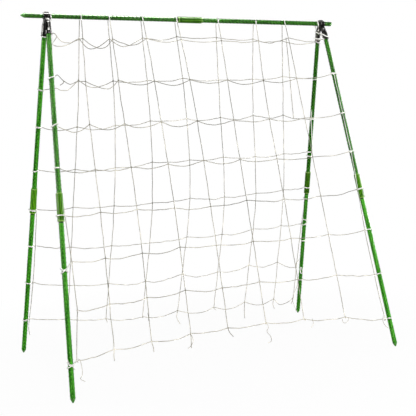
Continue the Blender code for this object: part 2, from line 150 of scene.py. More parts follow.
# Points of a cord over the crossbar, and how far past its crest it starts, in radians
BAR_STEPS = 8
PAST_CREST = 0.10
# How far rows, edge uprights and inner uprights wander, and knots lie proud, in millimetres
ROW_WANDER = (1.8, 2.2)
EDGE_WANDER = 0.9
INNER_WANDER = 1.2
KNOT_LIFT = 0.4
# Ties: share of the cord's size, points and millimetres to a turn, and their way off the leg
TIE_SIZE = 1.5
TIE_STEPS = 12
TIE_PITCH = 3.4
TIE_STANDOFF = 1.35 * CORD_RADIUS
# Painted highlight: the cord is whitened where it lies on the crossbar and legs, up to this reach, which also
# marks where uprights double over the crossbar
CORD_HIGHLIGHT_WHITE = (0.84, 0.83, 0.79)
BAR_AND_LEG_REACH = 0.016
# Two heights near the crossbar, one just under its top and one below it; hang_net makes points of them that
# nothing uses, as the uprights are baked in place
BLEND_HEIGHTS = (BAR_HEIGHT + STAKE_RADIUS * 0.6, BAR_HEIGHT - 0.045)
# Edge cords look thinner or doubled above the first height, and loose strands are thinner
# below the second
UPPER_STAKE_HEIGHT = 0.62
LOW_STRAND = 0.16
LOW_STRAND_SIZE = 0.72

# Where the leg axes meet the crossbar's height, and how fast they splay below it
LEG_TOP_X = 0.541
SPLAY_PER_HEIGHT = 0.0569

# The photograph's camera
CAMERA_PLACE = (-1.2354, -2.7244, 0.8004)
CAMERA_TURN = math.radians(24.97)
CAMERA_DOWN = math.radians(5.11)
CAMERA_ROLL = math.radians(-2.10)
CAMERA_LENS = 70.37
# What the lamps point at
LAMP_AIM = (0, 0, 0.75)

# Net: knots on each face in millimetres. X counts from the middle between the clips, and depth
# runs down the slope from the crossbar's axis. The seven inner uprights are given at four depths.
UPRIGHT_DEPTHS = (0, 320, 700, 1130)
UPRIGHTS = {
    "front": (
        (-424, -443, -446, -460),
        (-324, -323, -320, -332),
        (-202, -190, -185, -193),
        (-73, -54, -51, -55),
        (92, 91, 92, 91),
        (249, 237, 245, 243),
        (374, 386, 400, 414),
    ),
    "rear": (
        (-424, -421, -430, -439),
        (-324, -284, -271, -284),
        (-202, -150, -116, -129),
        (-73, -4, 42, 24),
        (92, 138, 194, 189),
        (249, 282, 337, 334),
        (374, 418, 467, 476),
    ),
}
# Depth of each row from its tie on the left leg, over the seven knots, to its right tie
ROWS = {
    "front": (
        (69, 82, 82, 78, 80, 82, 80, 66, 66),
        (222, 234, 230, 234, 231, 232, 235, 227, 210),
        (383, 383, 384, 382, 382, 383, 382, 382, 368),
        (527, 537, 535, 531, 525, 528, 533, 533, 520),
        (682, 680, 680, 685, 689, 677, 683, 682, 666),
        (857, 831, 827, 819, 825, 824, 827, 827, 824),
        (990, 979, 973, 965, 972, 967, 975, 977, 991),
        (1153, 1122, 1115, 1109, 1108, 1110, 1116, 1131, 1160),
    ),
    "rear": (
        (70, 75, 74, 69, 62, 62, 65, 70, 74),
        (252, 219, 222, 221, 214, 221, 218, 209, 218),
        (383, 387, 385, 372, 367, 366, 362, 363, 382),
        (541, 545, 547, 532, 531, 526, 530, 524, 519),
        (689, 690, 696, 696, 688, 693, 687, 680, 675),
        (828, 848, 858, 861, 851, 854, 843, 839, 838),
        (974, 1005, 1016, 1024, 1011, 1020, 1005, 1006, 1039),
        (1124, 1147, 1167, 1180, 1174, 1180, 1176, 1180, 1205),
    ),
}
# How far each span of a row sags, and where its lowest place is, as a share of the span
SAGS = {
    "front": (
        (16, 34, 24, 11, 8, 5, 14, 10),
        (20, 29, 15, 17, 11, 15, 12, 8),
        (24, 20, 17, 17, 14, 9, 11, 8),
        (12, 9, 10, 14, 14, 10, 8, 6),
        (7, 9, 5, 7, 6, 8, 7, 6),
        (6, 8, 9, 5, 7, 6, 5, 7),
        (8, 6, 7, 8, 5, 7, 8, 6),
        (6, 7, 9, 5, 6, 8, 9, 7),
    ),
    "rear": (
        (12, 34, 27, 10, 4, 7, 8, 10),
        (26, 24, 8, 6, 4, 3, 5, 3),
        (15, 14, 8, 6, 10, 11, 12, 6),
        (9, 8, 6, 7, 5, 6, 8, 5),
        (8, 6, 7, 5, 8, 6, 5, 7),
        (6, 8, 5, 7, 6, 8, 6, 5),
        (7, 5, 12, 14, 16, 14, 16, 10),
        (5, 7, 12, 16, 22, 22, 22, 30),
    ),
}
LOWEST = {
    "front": (0.45, 0.62, 0.55, 0.50, 0.45, 0.45, 0.40, 0.55),
    "rear": (0.62, 0.40, 0.45, 0.55, 0.50, 0.58, 0.42, 0.48),
}
# Knots of the edge uprights, row by row: how far inside the leg's axis, how far out from the
# plane of the legs, and how far below the tie. Most of them sit against the leg.
BEHIND_LEFT = (7.5, -7.5, 0)
OUTSIDE_LEFT = (7.5, 7.5, 0)
OUTSIDE_RIGHT = (-5.0, 9.3, 0)
EDGE_KNOTS = {
    ("front", "left"): (
        (12, -5, -4), BEHIND_LEFT, BEHIND_LEFT, BEHIND_LEFT,
        (15, -3, 1), (27, 0, -25), (33, 1, -4), (21, 0, -14),
    ),
    ("front", "right"): (
        (13, 4, 4), (6.2, 8.4, 0), (6.2, 8.4, 0), (6.6, 8.2, 0),
        (14, 5, 2), (21, 1, 1), (22, 0, 2), (20, 0, 0),
    ),
    ("rear", "left"): (
        OUTSIDE_LEFT, OUTSIDE_LEFT, OUTSIDE_LEFT, OUTSIDE_LEFT,
        (13, 2, 0), (18, 1, 2), (18, 0, 1), (14, 0, 0),
    ),
    ("rear", "right"): (
        OUTSIDE_RIGHT, OUTSIDE_RIGHT, (8, -7, 2), (-8, -7, -2),
        OUTSIDE_RIGHT, (16, -2, 0), (27, -3, 0), (32, -3, -20),
    ),
}
# Loose first spans of some rows, from the left edge knot to the first inner upright
LOOSE_STARTS = {
    ("front", 0): (
        (-527, 66), (-519, 74), (-521, 83), (-527, 91), (-533, 99), (-535, 105), (-529, 110),
        (-518, 112), (-501, 111), (-480, 104), (-462, 94),
    ),
    ("front", 1): ((-533, 212), (-516, 230), (-494, 244), (-470, 236)),
    ("rear", 0): (
        (-529, 63), (-520, 58), (-508, 60), (-501, 69), (-492, 79), (-480, 87), (-462, 90),
        (-446, 88), (-436, 81),
    ),
    ("rear", 1): ((-540, 252), (-501, 247), (-485, 254), (-460, 254), (-444, 242), (-432, 230)),
}
# The edge uprights' way from the crossbar to their first knots, as (x, depth, lift). The front
# right one goes on behind its leg as far as the second row.
FIRST_RUNS = {
    ("front", "left"): ((-529, 14, 1), (-531.2, 24, -4), (-532.4, 36, -5), (-532.6, 50, -5)),
    ("front", "right"): (
        (518.5, 14, 5), (516.5, 33, 3), (518, 45, 2), (525, 58, 3), (531.8, 70, 4),
        (539.5, 82, -9), (550.3, 96, -9.5), (553.1, 120, -8.8), (554.7, 150, -8.8),
        (556.4, 180, -8.8), (555.5, 192, -9.5), (546.0, 200, -9.2), (541.5, 206, -1),
    ),
    ("rear", "left"): ((-529, 14, 4), (-531, 30, 6), (-533, 45, 7)),
    ("rear", "right"): (
        (528.5, 8, 7), (533, 15, 10), (539, 26, 12), (543, 44, 13), (547, 58, 12.6)
    ),
}
BAR_PLACES = {
    ("front", "left"): -529.0,
    ("front", "right"): 523.5,
    ("rear", "left"): -525.6,
    ("rear", "right"): 527.0,
}
# Odd strands and loose ends as (x, depth, lift)
ODD_TIES = {
    "front": (
        (
            (518, 45, 2), (524, 48.5, 4.8), (530, 53, 8), (536, 58, 10.4), (544, 62, 12.4),
            (552, 62.5, 9.5), (556.4, 61, 1), (553, 58, -8), (545, 55, -12.2), (535, 51, -8.5),
            (526, 47, -2), (518, 44, 1),
        ),
        ((516.5, 32, 4), (514.5, 34, 6), (512, 36, 4)),
    ),
    "rear": (
        (
            (522, 31, -7), (525.5, 33, -11), (531, 35.5, -13.2), (537, 37.5, -13.8),
            (545, 39, -13.4), (552, 39, -10), (555, 37, -2),
        ),
        (
            (591, 1038, -8), (588.5, 1047, -9), (589, 1058, -11), (593, 1066, -12.5),
            (599, 1067, -12.6), (600, 1058, -12.4), (596, 1048, -12.2), (593, 1040, -11),
        ),
    ),
}
ODD_STRANDS = {
    "front": (
        ((-533, 65, -5), (-537, 64, -10.8), (-544, 63, -13.0), (-550, 62, -11.4)),
        ((366, 66, 1), (361, 130, 2), (355, 193, 3), (347, 290, 1), (340, 382, 0)),
        ((-516, 230, 1), (-514, 236, 3), (-517, 241, 4), (-528, 248, 3)),
        ((-193, 1109, 1), (-188, 1130, 3), (-197, 1146, 5), (-212, 1156, 4)),
        (
            (-580, 1134, 0), (-573, 1140, 2), (-571, 1166, 4), (-573, 1186, 4), (-580, 1196, 5),
            (-566, 1206, 5),
        ),
        ((91, 1108, 1), (97, 1124, 3), (88, 1140, 4), (99, 1158, 5), (97, 1174, 6), (84, 1178, 6)),
        ((276, 1119, 1), (277, 1130, 3), (274, 1142, 3), (263, 1150, 4)),
        ((400, 1136, 1), (401, 1150, 4), (416, 1150, 5), (429, 1136, 3)),
        ((578, 1150, 1), (573, 1167, 2), (579, 1184, 3), (593, 1196, 2)),
    ),
    "rear": (
        (
            (581, 1004, -4), (568, 1017, -5), (567, 1037, -4), (577, 1070, -5), (587, 1114, -5),
            (581, 1146, -5), (574, 1166, -4), (572, 1199, -5), (585, 1225, -5), (596, 1252, -5),
        ),
        ((-109, 1167, 1), (-104, 1186, 3), (-102, 1204, 4)),
    ),
}
# Cut ends below the last row: how far they hang and how far they lean to the right
TAILS = {
    "front": (
        (6, 3), (36, -4), (34, 2), (46, -6), (32, 14), (4, 2), (6, 4), (5, 3), (5, -3)
    ),
    "rear": (
        (70, 2), (12, -5), (18, 6), (8, 4), (66, 17), (18, 13), (80, 10), (50, 10), (30, -6)
    ),
}
# The tie round each leg, row by row: its turns and how far its right side lies below its left
TIES = {
    ("front", "left"): (
        (0, 0), (1, -5), (1, -9), (1, 3), (1, 3), (1, -16), (0, 0), (1, -9)
    ),
    ("front", "right"): (
        (0, 0), (2, 3), (1, -4), (1, 5), (2, -3), (1, 4), (1, -3), (1, 3)
    ),
    ("rear", "left"): (
        (1, 3), (1, 7), (2, 4), (1, -4), (2, 5), (1, 5), (1, 4), (1, -3)
    ),
    ("rear", "right"): (
        (1, 8), (1, -4), (2, 3), (1, -5), (1, 1), (1, -10), (0, 0), (0, 0)
    ),
}
# Edge cords that look thinner or doubled beside their legs' upper stakes
EDGE_THICKNESS = {("front", "right"): 0.82, ("rear", "right"): 1.55}
# Second ties as (depth, turns, slant): beside a row, or crossed over the row's own tie
EXTRA_TIES = {
    ("front", "left"): ((857, 1, 14), (1150, 1, 28)),
    ("rear", "right"): (
        (59.5, 2, 1.5), (539, 1, 3), (725, 1, -2), (820, 1, 6), (915, 1, -3), (1099, 1, 0),
    ),
}
# Where a second tie starts: x from the leg's axis, and lift
EXTRA_KNOT = (-7, 11.5)


def operator(operation):
    """A Python operator that adds a Math node."""
    return lambda wire, other: wire.maths(operation, other)


class Wire:
    """A socket in a material's nodes; arithmetic on it adds Math nodes."""

    def __init__(self, tree, socket=None):
        self.tree = tree
        self.socket = socket

    def node(self, kind, settings=None, inputs=None, output=0):
        """A new node with its settings and its sockets' values or links, as a wire out of it."""
        made = self.tree.nodes.new(kind)
        for name, value in (settings or {}).items():
            setattr(made, name, value)
        for key, value in (inputs or {}).items():
            if isinstance(value, Wire):
                self.tree.links.new(value.socket, made.inputs[key])
            else:
                made.inputs[key].default_value = value
        return Wire(self.tree, made.outputs[output])

    def maths(self, operation, *values):
        """A Math node on this value and the others."""
        inputs = dict(enumerate((self, *values)))
        return self.node("ShaderNodeMath", {"operation": operation}, inputs)

    __add__ = __radd__ = operator("ADD")
    __mul__ = __rmul__ = operator("MULTIPLY")
    __sub__ = operator("SUBTRACT")
    __truediv__ = operator("DIVIDE")
    __pow__ = operator("POWER")

    def __rsub__(self, other):
        return self.node("ShaderNodeMath", {"operation": "SUBTRACT"}, {0: other, 1: self})

    def __abs__(self):
        return self.maths("ABSOLUTE")

    def clamped(self):
        return self.maths("MAXIMUM", 0.0).maths("MINIMUM", 1.0)

    def rise(self, start, slope):
        """0 up to the start, and from there up to 1 at the slope."""
        return ((self - start) * slope).clamped()

    def part(self, axis):
        """A vector's x, y or z."""
        return self.node("ShaderNodeSeparateXYZ", None, {0: self}, output=axis)

    def scaled(self, x, y, z):
        """A vector stretched along its axes."""
        stretch = {0: self, 1: (x, y, z)}
        return self.node("ShaderNodeVectorMath", {"operation": "MULTIPLY"}, stretch)

    def times(self, amount):
        """A colour made deeper or brighter as a whole."""
        return self.node("ShaderNodeVectorMath", {"operation": "SCALE"}, {0: self, 3: amount})

    def colour(self, low, high):
        """From low, a colour or a colour's wire, to the colour high as this runs from 0 to 1."""
        under = low if isinstance(low, Wire) else (*low, 1.0)
        colours = {0: self, 6: under, 7: (*high, 1.0)}
        return self.node("ShaderNodeMix", {"data_type": "RGBA"}, colours, output=2)

    def noise(self, scale, detail=2.0):
        cloud = {"Vector": self, "Scale": scale, "Detail": detail}
        return self.node("ShaderNodeTexNoise", None, cloud)

    def bump(self, strength, depth):
        relief = {"Height": self, "Strength": strength, "Distance": depth}
        return self.node("ShaderNodeBump", None, relief)


def new_material(name):
    """A fresh material and a wire to grow its nodes from."""
    made = bpy.data.materials.new(name)
    made.use_nodes = True
    return made, Wire(made.node_tree)


def finished(made, colour, rough, normal, gloss, tint=(1.0, 1.0, 1.0)):
    """Links what changes over the surface and sets what is the same all over."""
    shader = made.node_tree.nodes["Principled BSDF"]
    for socket, wire in (("Base Color", colour), ("Roughness", rough), ("Normal", normal)):
        wire.tree.links.new(wire.socket, shader.inputs[socket])
    shader.inputs["Specular IOR Level"].default_value = gloss
    shader.inputs["Specular Tint"].default_value = (*tint, 1.0)
    return made


def rod_place(wire):
    """Place on a stake or sleeve before it was laid: Z runs along it."""
    return wire.node("ShaderNodeAttribute", {"attribute_name": "rod_place"}, output=1)


def own_tone_and_light(wire):
    """How bright this stake or sleeve is, partly its own tone and partly painted light, how much painted sheen it
    has, and how much painted shadow falls below its sleeve.
    """
    return wire.node("ShaderNodeAttribute", {"attribute_name": "stake_tone"}, output=1)


def object_place(wire):
    return wire.node("ShaderNodeTexCoord", output=3)


def rod_radius(place):
    x, y = place.part(0), place.part(1)
    return (x * x + y * y) ** 0.5


def coat_material(name, gloss, nub_shade_depth):
    """Green plastic coat: drawn streaks and pale rubbed nubs, with painted nub shade in rings, a painted whitish
    sheen and a painted shadow just below the sleeve.
    """
    made, wire = new_material(name)
    place, own = rod_place(wire), own_tone_and_light(wire)
    along = place.part(2)
    streaks = place.scaled(260, 260, 12).noise(1.0, 3.0)
    patches = place.scaled(60, 60, 22).noise(1.0)
    grain = place.noise(2600)
    # Painted shade of the nubs: the coat is darker in a band round each ring of nubs
    ring = abs(((along - COAT_START) / NUB_PITCH).maths("FRACT") - 0.5).rise(0.28, 12.5)
    # Painted shadow: a dark band on the coat just below the sleeve's lower end
    below_sleeve = SLEEVE_MIDDLE - SLEEVE_HALF - 0.0022
    shadow_below_sleeve = 1.0 - abs(along - below_sleeve).rise(0.0018, 1000)
    depth = (1.0 - ring * nub_shade_depth) * (1.0 - shadow_below_sleeve * own.part(2) * 0.85)
    base = streaks.rise(0.36, 3.4).colour((0.005, 0.080, 0.002), (0.048, 0.300, 0.012))
    cool = (patches.rise(0.45, 3.0) * 0.24).colour(base, (0.045, 0.225, 0.018))
    even = cool.times(own.part(0) * depth)
    # Painted whitish sheen along the streaks, by each stake's own amount
    tone = (streaks.rise(0.25, 2.0) * own.part(1)).colour(even, (0.200, 0.290, 0.165))
    rubbed = rod_radius(place).rise(STAKE_RADIUS + 0.25 * NUB_HEIGHT, 1.6 / NUB_HEIGHT)
    return finished(
        made,
        colour=(rubbed * 0.9).colour(tone, (0.190, 0.460, 0.085)),
        rough=0.20 + patches * 0.12 + rubbed * 0.08,
        normal=(streaks * 0.6 + grain * 0.4).bump(0.22, 0.0004),
        gloss=gloss,
        tint=(0.92, 0.97, 0.80),
    )


def sleeve_material():
    """Yellower green plastic of the joining sleeves, with painted light and shade: lighter ribs, dark grooves and
    paler rims.
    """
    made, wire = new_material("sleeve_green")
    place = rod_place(wire)
    cloud = place.scaled(110, 110, 30).noise(1.0)
    # Painted light and shade: the ribs are painted light and the grooves between them dark
    ribs = rod_radius(place).rise(SLEEVE_RADIUS - RIB_HEIGHT, 2000)
    base = ribs.colour((0.008, 0.050, 0.001), (0.108, 0.365, 0.008))
    soft = (cloud.rise(0.4, 2.0) * 0.35).colour(base, (0.05, 0.25, 0.010))
    even = soft.times(own_tone_and_light(wire).part(0))
    # Painted highlight: the rims at both ends are paler
    rim = abs(place.part(2)).rise(SLEEVE_HALF - 0.0028, 1 / 0.0006)
    return finished(
        made,
        colour=(rim * 0.55).colour(even, (0.34, 0.52, 0.14)),
        rough=0.28 + cloud * 0.14,
        normal=place.noise(2200).bump(0.12, 0.0003),
        gloss=0.06,
        tint=(0.92, 0.97, 0.70),
    )


def tip_material():
    """Duller green of the moulded tips and caps."""
    made, wire = new_material("tip_green")
    place = object_place(wire)
    cloud = place.noise(240)
    return finished(
        made,
        colour=cloud.rise(0.35, 2.2).colour((0.020, 0.150, 0.010), (0.09, 0.30, 0.03)),
        rough=0.30 + cloud * 0.2,
        normal=place.noise(1800).bump(0.15, 0.0003),
        gloss=0.26,
    )


def clip_material():
    """Glossy black moulded plastic with faint flow marks and fine scuffs."""
    made, wire = new_material("clip_black")
    place = object_place(wire)
    flow = place.noise(90, 3.0)
    scuff = place.scaled(900, 900, 160).noise(1.0, 3.0)
    marks = scuff.rise(0.62, 6.0)
    return finished(
        made,
        colour=(marks * 0.5).colour((0.0015, 0.0015, 0.0013), (0.018, 0.017, 0.014)),
        rough=0.08 + flow * 0.07 + marks * 0.20,
        normal=(flow * 0.5 + scuff * 0.2).bump(0.05, 0.0004),
        gloss=0.08,
        tint=(1.0, 0.97, 0.91),
    )


def cord_material(name, shade, light, dust_and_shade, height_shade):
    """Spun cord: cloudy tone, fine fibres, painted shade that greys it higher up, and a painted highlight that
    whitens it at the bar and legs.
    """
    made, wire = new_material(name)
    place = object_place(wire)
    height = place.part(2)
    fibre = place.noise(3400, 3.0)
    tone = place.noise(26, 3.0).rise(0.36, 3.6).colour(shade, light)
    # Painted shade: the cord is greyer higher up, in patches, besides the fibres' dust
    shade_patches = place.noise(6.0, 1.0).rise(0.34, 3.2)
    fibre_and_height_shade = fibre.rise(0.55, 3.0) * 0.4 + height.rise(0.12, 2.5) * shade_patches * height_shade
    # Painted highlight: whiter cord near the legs and the bar
    leg_x = (BAR_HEIGHT - height) * SPLAY_PER_HEIGHT + LEG_TOP_X
    from_leg = abs(abs(place.part(0) - front.middle) - leg_x)
    near_leg = (BAR_AND_LEG_REACH - from_leg) / 0.004
    near_bar = (height - (BAR_HEIGHT - BAR_AND_LEG_REACH)) / 0.008
    painted_cord_highlight = near_bar.maths("MAXIMUM", near_leg).clamped()
    return finished(
        made,
        colour=painted_cord_highlight.colour(fibre_and_height_shade.colour(tone, dust_and_shade), CORD_HIGHLIGHT_WHITE),
        rough=0.74 + fibre * 0.2,
        normal=fibre.bump(0.5, 0.0005),
        gloss=0.15,
    )


def only(*objects):
    """Selects these objects alone, the first one active."""
    bpy.ops.object.select_all(action="DESELECT")
    for obj in objects:
        obj.select_set(True)
    if objects:
        bpy.context.view_layer.objects.active = objects[0]


def joined(parts):
    only(*parts)
    bpy.ops.object.join()
    return parts[0]


def in_scene(obj):
    bpy.context.scene.collection.objects.link(obj)
    return obj


def start_object(name):
    """Names the new primitive and puts its place into its mesh."""
    made = bpy.context.object
    made.name = name
    bpy.ops.object.transform_apply(location=True, rotation=True, scale=True)
    return made


def copy_of(master, name, matrix):
    """A copy with its own mesh, laid by the matrix."""
    made = master.copy()
    made.data = master.data.copy()
    made.name = name
    made.data.transform(matrix)
    return in_scene(made)


def edit(obj, mode):
    """Edit mode with everything selected, set to faces, edges or corners."""
    only(obj)
    bpy.ops.object.mode_set(mode="EDIT")
    bpy.ops.mesh.select_mode(type=mode)
    bpy.ops.mesh.select_all(action="SELECT")


def leave_edit():
    bpy.ops.object.mode_set(mode="OBJECT")


def leave_outwards():
    """Turns all faces outwards and leaves edit mode."""
    bpy.ops.mesh.select_all(action="SELECT")
    bpy.ops.mesh.normals_make_consistent(inside=False)
    leave_edit()


def pick(obj, mode, wanted):
    """Selects the corners or the edges whose ends pass the test, or faces by their middles."""
    bpy.ops.mesh.select_mode(type=mode)
    bpy.ops.mesh.select_all(action="DESELECT")
    shape = bmesh.from_edit_mesh(obj.data)
    if mode == "VERT":
        places = [(corner, [corner.co]) for corner in shape.verts]
    elif mode == "EDGE":
        places = [(edge, [corner.co for corner in edge.verts]) for edge in shape.edges]
    else:
        places = [(face, [face.calc_center_median()]) for face in shape.faces]
    for item, ends in places:
        if wanted(*ends):
            item.select_set(True)
    if mode == "VERT":
        shape.select_flush_mode()
    bmesh.update_edit_mesh(obj.data)


def extrude(scale=(1, 1, 1), move=(0, 0, 0), centre=(0, 0, 0)):
    """Extrudes what is selected, scales it about a centre and moves it."""
    bpy.ops.mesh.extrude_region_move()
    bpy.ops.transform.resize(value=scale, center_override=centre)
    bpy.ops.transform.translate(value=move)


def raise_faces(inset, height, each=False):
    """Insets the selected faces, as one or each alone, and lifts them."""
    bpy.ops.mesh.inset(thickness=inset, use_individual=each)
    bpy.ops.transform.shrink_fatten(value=height)


def raise_ribs(made, inset, under_rib):
    """Raises ribs on the faces whose middles pass the test."""
    edit(made, "FACE")
    pick(made, "FACE", under_rib)
    raise_faces(inset, RIB_HEIGHT)
    leave_edit()


def smoothed(obj, degrees=40):
    """Shades it smooth but for edges sharper than the angle."""
    only(obj)
    bpy.ops.object.shade_smooth_by_angle(angle=math.radians(degrees))
    return obj


def column_of(middle, sides):
    """Which of the sides round the Z axis a place lies on."""
    return int(math.atan2(middle.y, middle.x) % math.tau / math.tau * sides)


def paint(obj, material):
    obj.data.materials.clear()
    obj.data.materials.append(material)


def finish_piece(obj, material, body, replaced):
    """Paints the piece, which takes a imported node's place and rides its body."""
    paint(obj, material)
    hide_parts(replaced)
    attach(obj, body)


def coat_master():
    """The coat of one stake along Z: rings of nubs, each staggered against the next."""
    only()
    bpy.ops.mesh.primitive_cylinder_add(
        vertices=COAT_SIDES,
        radius=STAKE_RADIUS,
        depth=NUB_PITCH,
        end_fill_type="NOTHING",
        location=(0, 0, NUB_PITCH / 2),
    )
    coat = start_object("coat_master")
    edit(coat, "EDGE")
    pick(coat, "EDGE", lambda a, b: abs(a.z - b.z) > NUB_PITCH / 2)
    bpy.ops.mesh.subdivide(number_cuts=COAT_RINGS - 1)

    def under_nub(middle):
        ring = int(middle.z / (NUB_PITCH / COAT_RINGS))
        column = column_of(middle, COAT_SIDES) % NUB_EVERY
        return (ring, column) in ((0, 0), (COAT_RINGS // 2, NUB_EVERY // 2))

    pick(coat, "FACE", under_nub)
    raise_faces(NUB_INSET, NUB_HEIGHT * 0.75, each=True)
    raise_faces(NUB_INSET, NUB_HEIGHT * 0.25, each=True)
    leave_edit()
    repeat = coat.modifiers.new("pitches", "ARRAY")
    repeat.use_relative_offset = False
    repeat.use_constant_offset = True
    repeat.constant_offset_displace = (0, 0, NUB_PITCH)
    repeat.count = NUB_COUNT
    repeat.use_merge_vertices = True
    repeat.merge_threshold = 0.00005
    bpy.ops.object.modifier_apply(modifier="pitches")
    edit(coat, "EDGE")
    for end, inwards in ((0.0, 1), (COAT_LENGTH, -1)):
        pick(coat, "EDGE", lambda a, b: max(abs(a.z - end), abs(b.z - end)) < NUB_PITCH / 100)
        extrude(scale=(COAT_BORE / STAKE_RADIUS, COAT_BORE / STAKE_RADIUS, 1))
        extrude(move=(0, 0, inwards * BORE_DEPTH))
        bpy.ops.mesh.edge_face_add()
    leave_outwards()
    coat.data.transform(Matrix.Translation((0, 0, COAT_START)))
    return smoothed(coat)


def press_flat(coat, covered):
    """Takes the nubs down where a sleeve, socket or clip goes round the stake."""

    def nub_top(middle):
        raised = middle.xy.length > STAKE_RADIUS + NUB_HEIGHT / 3
        return raised and any(low < middle.z < high for low, high in covered)

    edit(coat, "FACE")
    pick(coat, "FACE", nub_top)
    bpy.ops.transform.shrink_fatten(value=-NUB_HEIGHT * 0.97)
    leave_edit()


def turned_wall(name, sides, profile, ring=True):
    """A wall turned round Z through (height, radius) places, joined to a ring or closed off."""
    height, radius = profile[0]
    only()
    bpy.ops.mesh.primitive_circle_add(
        vertices=sides, radius=radius, fill_type="NOTHING", location=(0, 0, height)
    )
    made = start_object(name)
    edit(made, "EDGE")
    for next_height, next_radius in profile[1:]:
        wider = next_radius / radius
        extrude(scale=(wider, wider, 1), move=(0, 0, next_height - height))
        height, radius = next_height, next_radius
    if ring:
        bpy.ops.mesh.select_all(action="DESELECT")
        bpy.ops.mesh.select_non_manifold()
        bpy.ops.mesh.bridge_edge_loops()
    else:
        bpy.ops.mesh.select_all(action="SELECT")
        bpy.ops.mesh.fill_holes(sides=0)
    leave_outwards()
    return made


def sleeve_master():
    """The ribbed sleeve along Z, its middle at the origin, with a rim at each end."""
    half, rim, slope, groove_half = SLEEVE_HALF, 0.0024, 0.0004, 0.0006
    outer, top_rim = SLEEVE_RADIUS, SLEEVE_RADIUS - 0.0003
    body, groove = SLEEVE_RADIUS - RIB_HEIGHT, SLEEVE_RADIUS - 0.0010
    band = -half + 0.0105
    above, below = band + groove_half, band - groove_half
    profile = [
        (half, FIT_BORE), (half, outer - 0.0011), (half - 0.0005, top_rim), (half - rim, top_rim),
        (half - rim - slope, body), (above + slope, body), (above, groove), (below, groove),
        (below - slope, body), (-half + rim + slope, body), (-half + rim, outer),
        (-half + 0.0006, outer), (-half, groove), (-half, FIT_BORE),
    ]
    made = turned_wall("sleeve_master", WALL_SIDES, profile)

    def under_rib(m):
        upper = band + 0.0012 < m.z < half - rim - 0.0006
        lower = -half + rim + 0.0006 < m.z < band - 0.0012
        outside = m.xy.length > body - 0.0002
        return (upper or lower) and outside and column_of(m, WALL_SIDES) % 4 < 2

    raise_ribs(made, 0.0003, under_rib)
    return smoothed(made, 34)


def socket_master():
    """The clip's tube for a leg: domed head, ribbed grip, barrel collar and an end ring."""
    plain, collar = SOCKET_RADIUS - 0.0007, COLLAR_RADIUS
    head, mouth = -0.0245, -SOCKET_DEPTH
    profile = [
        (head + 0.0009, 0.0025), (head + 0.0004, 0.0046), (head - 0.0006, 0.0063),
        (head - 0.0022, 0.0079), (head - 0.0042, 0.0090), (head - 0.0064, plain - 0.0002),
        (head - 0.0085, plain), (mouth + 0.0142, plain), (mouth + 0.0134, collar - 0.0007),
        (mouth + 0.0120, collar - 0.0002), (mouth + 0.0100, collar),
        (mouth + 0.0080, collar - 0.0002), (mouth + 0.0066, collar - 0.0007),
        (mouth + 0.0060, collar - 0.0014), (mouth + 0.0044, collar - 0.0014),
        (mouth + 0.0038, collar - 0.0005), (mouth + 0.0030, collar - 0.0001),
        (mouth + 0.0009, collar - 0.0001), (mouth + 0.0003, collar - 0.0004),
        (mouth, collar - 0.0011), (mouth, FIT_BORE), (mouth + 0.0160, FIT_BORE),
    ]
    made = turned_wall("socket_master", WALL_SIDES, profile, ring=False)

    def under_rib(m):
        on_tube = mouth + 0.0150 < m.z < head - 0.0090 and m.xy.length > plain - 0.0003
        return on_tube and column_of(m, WALL_SIDES) % 6 in (0, 1)

    raise_ribs(made, 0.0004, under_rib)
    made.data.transform(Matrix.Translation((0, LEG_OFFSET, 0)))
    return smoothed(made, 50)


def neck_master():
    """The clip's neck, drawn down from the knuckles to a waist and out again into the socket."""
    depth, half, inner, outer = NECK_SECTIONS[0]
    middle, thick = (inner + outer) / 2, outer - inner
    only()
    bpy.ops.mesh.primitive_plane_add(size=2 * half, location=(0, middle, -depth))
    made = start_object("neck_master")
    edit(made, "VERT")
    flatter = (1, thick / (2 * half), 1)
    bpy.ops.transform.resize(value=flatter, center_override=(0, middle, -depth))
    bpy.ops.mesh.bevel(offset=0.0042, segments=8, affect="VERTICES")
    bpy.ops.mesh.select_mode(type="FACE")
    bpy.ops.mesh.select_all(action="SELECT")
    for next_depth, next_half, inner, outer in NECK_SECTIONS[1:]:
        next_middle, next_thick = (inner + outer) / 2, outer - inner
        change = (next_half / half, next_thick / thick, 1)
        extrude(change, (0, next_middle - middle, depth - next_depth), (0, middle, -depth))
        depth, half, middle, thick = next_depth, next_half, next_middle, next_thick
    leave_outwards()
    return smoothed(made, 50)


def knuckle_master():
    """One hinge knuckle of unit width round the bar, along X, drawn down to meet the neck."""
    outer = KNUCKLE_RADIUS
    rounded = [(0.5, outer - 0.0007), (0.47, outer - 0.0002), (0.42, outer)]
    mirrored = [(-place, radius) for place, radius in reversed(rounded)]
    profile = [(0.5, FIT_BORE), *rounded, *mirrored, (-0.5, FIT_BORE)]
    made = turned_wall("knuckle_master", KNUCKLE_SIDES, profile)
    made.data.transform(Matrix.Rotation(math.pi / 2, 4, "Y"))
    edit(made, "VERT")
    for step in range(1, KNUCKLE_SIDES // 4 + 1):
        turn = step / KNUCKLE_SIDES * math.tau
        away, down = math.cos(turn), math.sin(turn)
        square = (abs(away) ** 5 + down**5) ** -0.2
        drop = outer * (square * (1 + 0.12 * down) - 1) * down

        def on_spoke(corner):
            outside = corner.yz.length > outer - 0.0008
            return outside and abs(math.atan2(-corner.z, corner.y) - turn) < 0.01

        pick(made, "VERT", on_spoke)
        bpy.ops.transform.translate(value=(0, outer * (square - 1) * away, -drop))
    leave_edit()
    return smoothed(made, 50)


